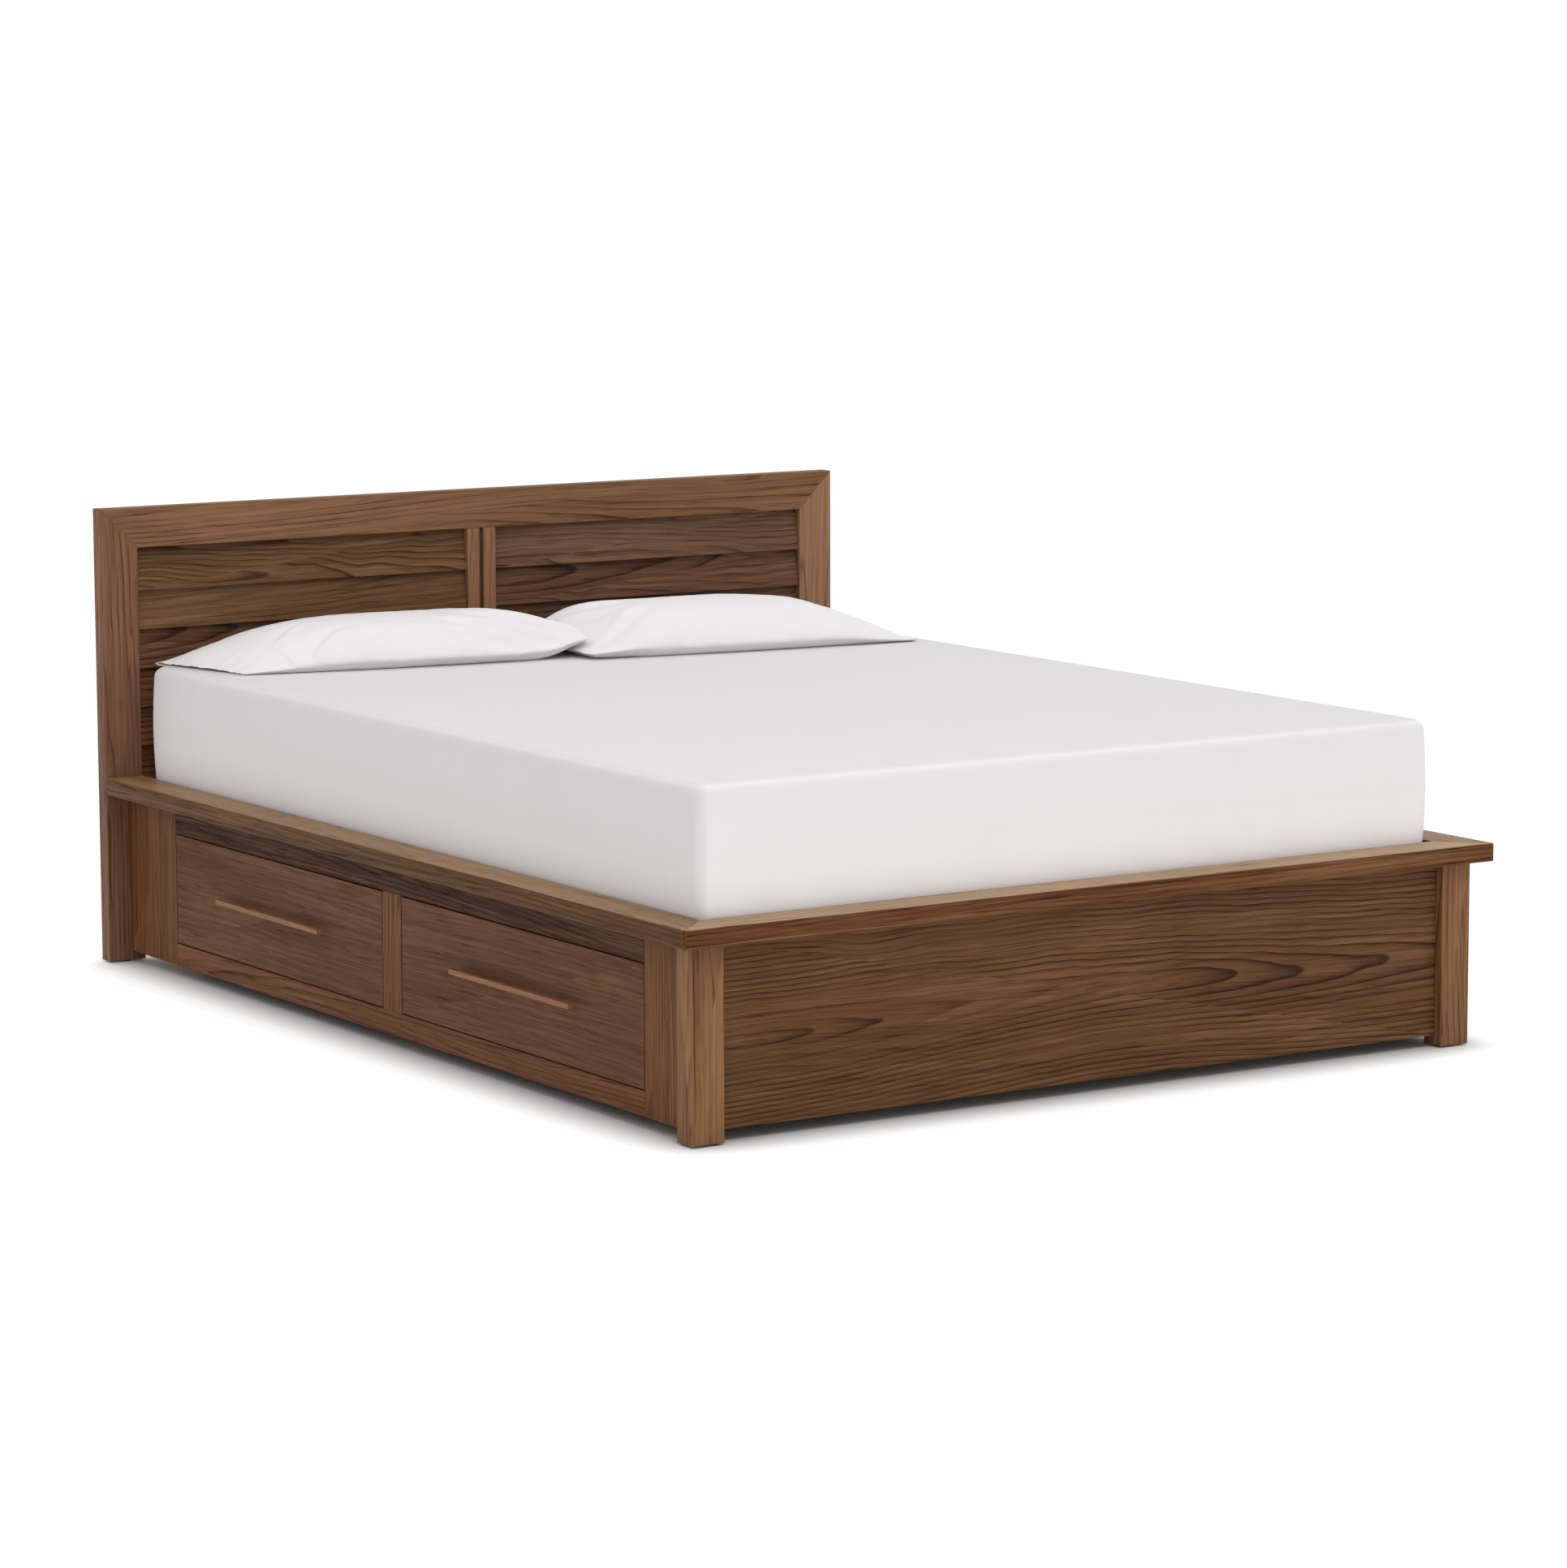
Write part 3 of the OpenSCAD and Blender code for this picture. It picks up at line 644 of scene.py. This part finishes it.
def make_mattress():
    """The mattress, and the sheet that is stretched over it and turned in under it."""
    low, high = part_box("mattress")
    half_x = (high.x - low.x) / 2
    # Painted light and shade on the sheet: brighter towards the bottom against the shade there, a painted
    # highlight band along the top edge, the top face a little darker, and painted shade along the left side
    painted_light_and_shade = {"Z": [(low.z, 1.30), (low.z + 0.018, 1.30), (low.z + 0.06, 1.18), (low.z + 0.12, 1.02),
                    (high.z - 0.012, 0.94), (high.z - 0.004, 1.04), (high.z - 0.001, 0.95),
                    (high.z + 0.001, 0.94)],
              "X": [(low.x, 0.87), (low.x + 0.010, 0.90), (low.x + 0.018, 1.0), (high.x, 1.0)]}
    sheet_material = cotton("sheet_cotton", (222, 219, 220), 1800, sheen=0.2, painted_light_and_shade=painted_light_and_shade)
    ticking = cotton("mattress_ticking", (205, 200, 190), 700, sheen=0.05)

    foot = low.z
    closed_bottom = [(0.30, foot), (0.02, foot), (0.006, foot + 0.003)]
    points, faces, count = bed_shell(SHEET_GAP,
                                     closed_bottom + mattress_profile(foot, high.z - SHEET_GAP, half_x))
    faces.append(tuple(range(len(points) - count, len(points))))
    faces.append(tuple(reversed(range(count))))
    core = mesh_object("mattress_core", points, faces, ticking)

    foot = low.z + 0.004
    turned_in = [(0.10, foot - 0.0035), (0.06, foot - 0.0035), (0.02, foot - 0.0030), (0.006, foot + 0.002)]
    points, faces, count = bed_shell(0.0, turned_in + mattress_profile(foot, high.z, half_x))
    faces.append(tuple(range(len(points) - count, len(points))))
    sheet = mesh_object("fitted_sheet", points, faces, sheet_material)
    thick = sheet.modifiers.new("cloth_thickness", "SOLIDIFY")
    thick.thickness = SHEET_THICK
    thick.offset = 1.0
    apply_modifiers(sheet)
    return core, sheet


# ---------------------------------------------------------------- pillows

PILLOW_CELL = 0.0095
PILLOW_LENGTH = 0.76
PILLOW_DEPTH = 0.44
CASE_THICK = 0.0008
# How much longer the cloth is than the pillow where it is loosest
CASE_SLACK = 0.13
# Height of the seams over the mattress, at the open end and along the full part
SEAM_LOW = 0.0005
SEAM_RISE = 0.0147
# Where the hem's stitching runs, as a share of the length, and how far it pulls the cloth in
HEM_SHARE = 0.135
HEM_GROOVE = 0.0030
# The stitches of the hem
STITCH_GAP = 0.0085
STITCH_LENGTH = 0.0055
STITCH_RADIUS = 0.0012
STITCH_SIDES = 6
# How far the sewn end curves out, and how far in from the rim the underside lifts off the sheet
SEWN_CURVE = 0.014
UNDER_CURVE = 0.030
# The cloth at the open end: how far its two layers are apart, and how far it waves
HEM_GAP = 0.0006
HEM_WAVE = 0.0006
# How unevenly the points lie before the simulation
CLOTH_JITTER = 0.0004
# How far the pillow's underside lies over the mattress's top, clear of the sheet
UNDER_LIFT = CASE_THICK * 1.5
# The largest distance that the simulation may move a point, and its length in frames
CRUMPLE_CAP = 0.011
CRUMPLE_FRAMES = 18


def fullness_along(u):
    """How full the pillow is from its open end, where the empty hem slopes down, to its sewn end."""
    rise = 1 - (1 - np.clip(u / 0.5, 0, 1)) ** 2.3
    fall = (1 - np.clip((u - 0.74) / 0.26, 0, 1) ** 2.6) ** 0.72
    return rise * fall


def fullness_across(v):
    """How full it is from its front edge to its back one."""
    return (1 - np.abs(2 * v - 1) ** 2.5) ** 0.78


# Creases of each pillowcase: where each starts and ends along and across the pillow, its relative
# depth and its half width in metres. They fan out from the sewn corners and from the hem's ends.
LEFT_CREASES = [(0.98, 0.05, 0.70, 0.44, 0.0070, 0.012), (0.91, 0.03, 0.60, 0.32, 0.0065, 0.012),
                (0.80, 0.03, 0.50, 0.22, 0.0055, 0.011), (0.98, 0.22, 0.78, 0.62, 0.0060, 0.012),
                (0.97, 0.94, 0.78, 0.66, 0.0050, 0.012), (0.18, 0.05, 0.36, 0.30, 0.0055, 0.012),
                (0.16, 0.30, 0.32, 0.52, 0.0040, 0.010), (0.30, 0.04, 0.46, 0.18, 0.0040, 0.010)]
RIGHT_CREASES = [(0.98, 0.94, 0.78, 0.58, 0.0070, 0.011), (0.97, 0.76, 0.76, 0.44, 0.0065, 0.011),
                 (0.90, 0.96, 0.70, 0.70, 0.0055, 0.010), (0.98, 0.56, 0.82, 0.34, 0.0055, 0.010),
                 (0.96, 0.10, 0.72, 0.36, 0.0050, 0.012), (0.17, 0.10, 0.34, 0.38, 0.0055, 0.012),
                 (0.16, 0.50, 0.32, 0.62, 0.0040, 0.010), (0.34, 0.05, 0.56, 0.20, 0.0045, 0.011)]
# What every crease's depth is multiplied by
CREASE_GAIN = 1.9


def creased(u, v, creases):
    """How far creases press the upper cloth in, with a low ridge along one side of each."""
    pressed = 0.0 * u
    x, y = u * PILLOW_LENGTH, v * PILLOW_DEPTH
    for u0, v0, u1, v1, depth, width in creases:
        start = np.array([u0 * PILLOW_LENGTH, v0 * PILLOW_DEPTH])
        way = np.array([u1 * PILLOW_LENGTH, v1 * PILLOW_DEPTH]) - start
        length = np.hypot(*way)
        way = way / length
        along = ((x - start[0]) * way[0] + (y - start[1]) * way[1]) / length
        beside = (x - start[0]) * way[1] - (y - start[1]) * way[0] + 0.012 * np.sin(3 * along)
        fade = smoothstep(along, -0.05, 0.12) * smoothstep(along, 1.05, 0.45)
        beside = beside / width
        fold = np.exp(-beside ** 2) - 0.6 * np.exp(-(beside - 1.9) ** 2)
        pressed += CREASE_GAIN * depth * fade * fold
    return pressed


def pillow_shape(corners, bow, height, lift, press, creases):
    """A pillow in its case, lying on the mattress: two layers of points that share the sewn edges.
    u runs from the open hem end to the sewn end and v from the front to the back. corners are its
    front-open, front-sewn, back-sewn and back-open corners, bow how far its long edges curve out."""
    nu = round(PILLOW_LENGTH / PILLOW_CELL)
    nv = round(PILLOW_DEPTH / PILLOW_CELL)
    front_open, front_sewn, back_sewn, back_open = (np.array(c) for c in corners)
    index, rows, faces = {}, [], []
    for layer in (1, -1):
        for i in range(nu + 1):
            for j in range(nv + 1):
                if layer == -1 and (i == nu or j in (0, nv)):
                    index[layer, i, j] = index[1, i, j]
                else:
                    index[layer, i, j] = len(rows)
                    rows.append((i / nu, j / nv, layer))
    u, v, layer = np.array(rows).T
    front = front_open + (front_sewn - front_open) * u[:, None]
    back = back_open + (back_sewn - back_open) * u[:, None]
    plan = front + (back - front) * v[:, None]
    curve = np.sin(np.pi * u) ** 0.8
    plan[:, 1] += bow * curve * (2 * v - 1) * np.where(v < 0.5, 1.0, 0.4)
    sewn_end = np.sign((front_sewn - front_open)[0])
    plan[:, 0] += sewn_end * SEWN_CURVE * smoothstep(u, 0.75, 1.0) * (1 - (2 * v - 1) ** 2)
    seam = SEAM_LOW + SEAM_RISE * smoothstep(u, 0.03, 0.30) * (1 - 0.35 * smoothstep(u, 0.85, 1.0))
    rim = np.minimum(np.minimum(v, 1 - v) * PILLOW_DEPTH, (1 - u) * PILLOW_LENGTH)
    top = seam + (height - seam) * fullness_along(u) * fullness_across(v)
    top += HEM_WAVE * (1 + np.sin(9 * v + 2)) * smoothstep(u, 0.14, 0.0) * smoothstep(rim, 0.0, 0.05)
    top -= HEM_GROOVE * np.exp(-((u - HEM_SHARE) * PILLOW_LENGTH / 0.007) ** 2) * smoothstep(rim, 0.0, 0.01)
    top -= creased(u, v, creases) * smoothstep(rim, 0.0, 0.012)
    top = seam + (top - seam) * (1 - press(u, v))
    under = seam * (1 - smoothstep(rim, 0.0, UNDER_CURVE)) + CASE_THICK * smoothstep(u, 0.0, 0.1)
    # The open end lies flat, its two layers on one another
    top = under + HEM_GAP + (top - under - HEM_GAP) * smoothstep(u, -0.01, 0.07)
    z = np.where(layer > 0, top, under) + lift(u, v)
    points = np.column_stack([plan, BED_TOP + UNDER_LIFT + z])
    for i in range(nu):
        for j in range(nv):
            cell = [(i, j), (i + 1, j), (i + 1, j + 1), (i, j + 1)]
            faces.append(tuple(index[1, *c] for c in cell))
            faces.append(tuple(index[-1, *c] for c in reversed(cell)))
    if sewn_end < 0:
        faces = [face[::-1] for face in faces]
    return points, faces, u, v, rim


def crumple(piece, slack):
    """Lets the case buckle by a cloth simulation: its cloth is longer than the pillow where slack is
    above 0, as it is along the seams. No point moves further than CRUMPLE_CAP."""
    rest = np.array([v.co for v in piece.data.vertices])
    loose = piece.vertex_groups.new(name="loose")
    for i, share in enumerate(slack):
        loose.add([i], float(share), "REPLACE")
    cloth = piece.modifiers.new("cloth", "CLOTH")
    settings = cloth.settings
    settings.quality = 6
    settings.mass = 0.15
    settings.tension_stiffness = 40
    settings.compression_stiffness = 40
    settings.shear_stiffness = 12
    settings.bending_stiffness = 0.04
    settings.use_pressure = True
    settings.uniform_pressure_force = 0.25
    settings.vertex_group_shrink = "loose"
    settings.shrink_min = 0.0
    settings.shrink_max = -CASE_SLACK
    settings.effector_weights.gravity = 0
    cloth.collision_settings.use_collision = False
    cloth.point_cache.frame_start = 1
    cloth.point_cache.frame_end = CRUMPLE_FRAMES
    for number in range(1, CRUMPLE_FRAMES + 1):
        SCENE.frame_set(number)
    apply_modifiers(piece)
    SCENE.frame_set(1)
    moved = np.array([v.co for v in piece.data.vertices]) - rest
    far = np.linalg.norm(moved, axis=1, keepdims=True)
    held = CRUMPLE_CAP * np.tanh(far / CRUMPLE_CAP)
    return rest + moved * (held / np.maximum(far, 1e-9))


def make_pillow(name, corners, bow, height, lift, press, creases, seed):
    """A pillow in its case, with creases, buckled seams and a stitched hem."""
    material = cotton(f"{name}_cotton", (229, 226, 227), 1500, sheen=0.25)
    points, faces, u, v, rim = pillow_shape(corners, bow, height, lift, press, creases)
    rng = np.random.default_rng(seed)
    points = points + rng.normal(0.0, CLOTH_JITTER, points.shape)
    piece = mesh_object(name, points, faces, material)
    slack = 0.15 + 0.85 * smoothstep(rim, 0.11, 0.01)
    slack = slack * smoothstep(u, 0.06, 0.2)
    points = crumple(piece, slack)
    points[:, 2] = np.maximum(points[:, 2], BED_TOP + UNDER_LIFT)
    piece.data.vertices.foreach_set("co", points.ravel())
    piece.data.update()
    # The points of the upper cloth come first
    upper = slice((round(PILLOW_LENGTH / PILLOW_CELL) + 1) * (round(PILLOW_DEPTH / PILLOW_CELL) + 1))
    hem_stitches(f"{name}_stitches", piece, points[upper], u[upper], v[upper], material)
    smooth = piece.modifiers.new("smooth", "SUBSURF")
    smooth.levels = smooth.render_levels = 1
    thick = piece.modifiers.new("cloth_thickness", "SOLIDIFY")
    thick.thickness = CASE_THICK
    thick.offset = -1.0
    apply_modifiers(piece)
    return piece


def hem_stitches(name, pillow, placed, u, v, material):
    """The row of stitches across the hem, each a short raised thread on the upper cloth."""
    nearest = u[np.argmin(np.abs(u - HEM_SHARE))]
    row = np.where(np.abs(u - nearest) < 1e-6)[0]
    row = row[np.argsort(v[row])]
    line = placed[row]
    steps = np.linalg.norm(np.diff(line, axis=0), axis=1)
    along = np.concatenate([[0.0], np.cumsum(steps)])
    points, faces = [], []
    centre = STITCH_GAP
    while centre < along[-1] - STITCH_GAP:
        start, end = (np.array([np.interp(centre + d, along, line[:, k]) for k in range(3)])
                      for d in (-STITCH_LENGTH / 2, STITCH_LENGTH / 2))
        add_stitch(points, faces, start, end)
        centre += STITCH_GAP
    piece = mesh_object(name, points, faces, material)
    piece.parent = pillow


def add_stitch(points, faces, start, end):
    """A thread from start to end that tapers at both ends, and lies mostly above them."""
    way = (end - start) / np.linalg.norm(end - start)
    side = np.cross(way, (0.0, 0.0, 1.0))
    side /= np.linalg.norm(side)
    up = np.cross(side, way)
    base = len(points)
    n = STITCH_SIDES
    for share, width in ((0.0, 0.25), (0.25, 1.0), (0.75, 1.0), (1.0, 0.25)):
        middle = start * (1 - share) + end * share + up * STITCH_RADIUS * 0.3
        for k in range(n):
            angle = 2 * math.pi * k / n
            points.append(middle + (side * math.cos(angle) + up * math.sin(angle)) * STITCH_RADIUS * width)
    for ring in range(3):
        low = base + ring * n
        for k in range(n):
            after = (k + 1) % n
            faces.append((low + k, low + after, low + n + after, low + n + k))
    faces.append(tuple(base + k for k in reversed(range(n))))
    faces.append(tuple(base + 3 * n + k for k in range(n)))


def left_lift(u, v):
    """The left pillow's sewn front corner lies on the right pillow."""
    return 0.026 * smoothstep(u, 0.84, 1.0) * smoothstep(v, 0.60, 0.05)


def right_press(u, v):
    """What the corner above it takes off the right pillow."""
    return 0.75 * smoothstep(u, 0.80, 0.95) * smoothstep(v, 0.60, 0.15)


def nowhere(u, v):
    """No lift and no pressure."""
    return 0.0 * u


# Each pillow's corners in the plan, front open, front sewn, back sewn and back open, measured from
# the headboard's face, and the other parts of its shape
PILLOWS = {
    "pillow_left": {
        "corners": [(-0.690, HEAD - 0.295), (0.020, HEAD - 0.408), (0.005, HEAD - 0.035),
                    (-0.751, HEAD - 0.030)],
        "bow": 0.030, "height": 0.084, "lift": left_lift, "press": nowhere,
        "creases": LEFT_CREASES, "seed": 3,
    },
    "pillow_right": {
        "corners": [(0.705, HEAD - 0.535), (-0.014, HEAD - 0.452), (0.028, HEAD - 0.090),
                    (0.700, HEAD - 0.150)],
        "bow": 0.022, "height": 0.087, "lift": nowhere, "press": right_press,
        "creases": RIGHT_CREASES, "seed": 4,
    },
}


# ---------------------------------------------------------------- stage, lights and camera

FLOOR_HALF = 400.0
# The floor has a painted shadow: it is darker and doesn't glow close to the bed, and glows a little further
# out: distance, albedo, glow
FLOOR_PAINTED_SHADOW = [(0.0, 0.60, 0.0), (0.05, 0.88, 0.08), (0.09, 0.94, 0.24), (0.14, 0.94, 0.34),
              (0.35, 0.94, 0.26), (0.6, 0.94, 0.20), (1.5, 0.94, 0.13)]
# How far inside the bed's outline its side frames stand
FLOOR_INSET = 0.046
# The studio sky's brightness, from just over the horizon to overhead
SKY_GLOW = [(0.02, 1.05), (0.09, 0.86), (0.55, 0.86), (0.95, 1.12)]


def make_stage():
    """A pale floor with a painted shadow round the bed, fading to white further out, under a studio sky."""
    g = Graph("stage_floor", roughness=0.9, specular=0.0)
    place = g.point()
    low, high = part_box("platform_rail_foot")[0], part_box("headboard_top_rail")[1]
    out = []
    for axis, a, b in (("X", low.x, high.x), ("Y", low.y, high.y)):
        middle, half = (a + b) / 2, (b - a) / 2 - FLOOR_INSET
        beyond = g.math("SUBTRACT", g.math("ABSOLUTE", g.scaled(place[axis], 1.0, -middle)), half)
        out.append(g.math("MAXIMUM", beyond, 0.0))
    away = g.math("SQRT", g.math("ADD", *(g.math("MULTIPLY", beyond, beyond) for beyond in out)))
    furthest = FLOOR_PAINTED_SHADOW[-1][0]
    share = g.scaled(away, 1 / furthest)
    albedo = [(distance / furthest, grey(value)) for distance, value, _ in FLOOR_PAINTED_SHADOW]
    glow = [(distance / furthest, grey(value)) for distance, _, value in FLOOR_PAINTED_SHADOW]
    # Painted shadow round the bed: the albedo and the glow fall off towards it
    g.put(g.shader.inputs["Base Color"], g.ramp(share, albedo))
    g.shader.inputs["Emission Color"].default_value = (1, 1, 1, 1)
    g.put(g.shader.inputs["Emission Strength"], g.ramp(share, glow))
    corners = [(x * FLOOR_HALF, y * FLOOR_HALF, 0) for x, y in ((-1, -1), (1, -1), (1, 1), (-1, 1))]
    mesh_object("stage_floor", corners, [(0, 1, 2, 3)], g.material)
    make_sky()


def make_sky():
    """An even studio sky, a little brighter overhead."""
    world = bpy.data.worlds.new("studio")
    world.use_nodes = True
    SCENE.world = world
    nodes, links = world.node_tree.nodes, world.node_tree.links
    direction = nodes.new("ShaderNodeTexCoord").outputs["Generated"]
    split = nodes.new("ShaderNodeSeparateXYZ")
    links.new(direction, split.inputs[0])
    sky = nodes.new("ShaderNodeValToRGB")
    links.new(split.outputs["Z"], sky.inputs[0])
    elements = sky.color_ramp.elements
    while len(elements) < len(SKY_GLOW):
        elements.new(0.5)
    for element, (height, glow) in zip(elements, SKY_GLOW):
        element.position = height
        element.color = grey(glow)
    links.new(sky.outputs["Color"], nodes["Background"].inputs["Color"])
    SCENE.view_settings.view_transform = "Standard"


# The key light, above the bed's foot end and to its left
KEY_PLACE = (-1.6, -5.2, 6.2)
KEY_TARGET = (0.0, 0.0, 0.3)
KEY_SIZE = (3.2, 2.6)
KEY_POWER = 125.0


def make_key_light():
    """A large soft lamp."""
    data = bpy.data.lights.new("key", "AREA")
    data.shape = "RECTANGLE"
    data.size, data.size_y = KEY_SIZE
    data.energy = KEY_POWER
    light = bpy.data.objects.new("key", data)
    light.location = KEY_PLACE
    light.rotation_mode = "QUATERNION"
    light.rotation_quaternion = (Vector(KEY_TARGET) - Vector(KEY_PLACE)).to_track_quat("-Z", "Y")
    SCENE.collection.objects.link(light)


# The camera's aim and distance in metres, its angles in degrees and its lens in millimetres
CAMERA_DISTANCE = 9.7
CAMERA_YAW = 32.626
CAMERA_PITCH = 7.93
CAMERA_ROLL = -0.198
CAMERA_LENS = 118.9
CAMERA_TARGET = (0.063, 0.027, 0.403)


def make_camera():
    """A long lens, a little above the mattress, off the bed's left foot corner."""
    data = bpy.data.cameras.new("camera")
    data.sensor_width = 36.0
    data.lens = CAMERA_LENS
    camera = bpy.data.objects.new("camera", data)
    SCENE.collection.objects.link(camera)
    yaw, pitch, roll = (math.radians(a) for a in (CAMERA_YAW, CAMERA_PITCH, CAMERA_ROLL))
    forward = Vector((math.sin(yaw) * math.cos(pitch), math.cos(yaw) * math.cos(pitch), -math.sin(pitch)))
    level = Vector((math.cos(yaw), -math.sin(yaw), 0.0))
    up = level.cross(forward)
    right = level * math.cos(roll) + up * math.sin(roll)
    up = right.cross(forward)
    turn = Matrix((right, up, -forward)).transposed().to_4x4()
    camera.matrix_world = Matrix.Translation(Vector(CAMERA_TARGET) - forward * CAMERA_DISTANCE) @ turn
    SCENE.camera = camera


# ---------------------------------------------------------------- the object

make_camera()
make_stage()
make_key_light()

finish_nodes()

core, sheet = make_mattress()
for piece in (core, sheet):
    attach(piece, "root")
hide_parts("mattress")

pillows = [make_pillow(f"{node}_case", **shape) for node, shape in PILLOWS.items()]
for piece, node in zip(pillows, PILLOWS):
    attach(piece, "root")
    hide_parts(node)

bpy.context.view_layer.update()
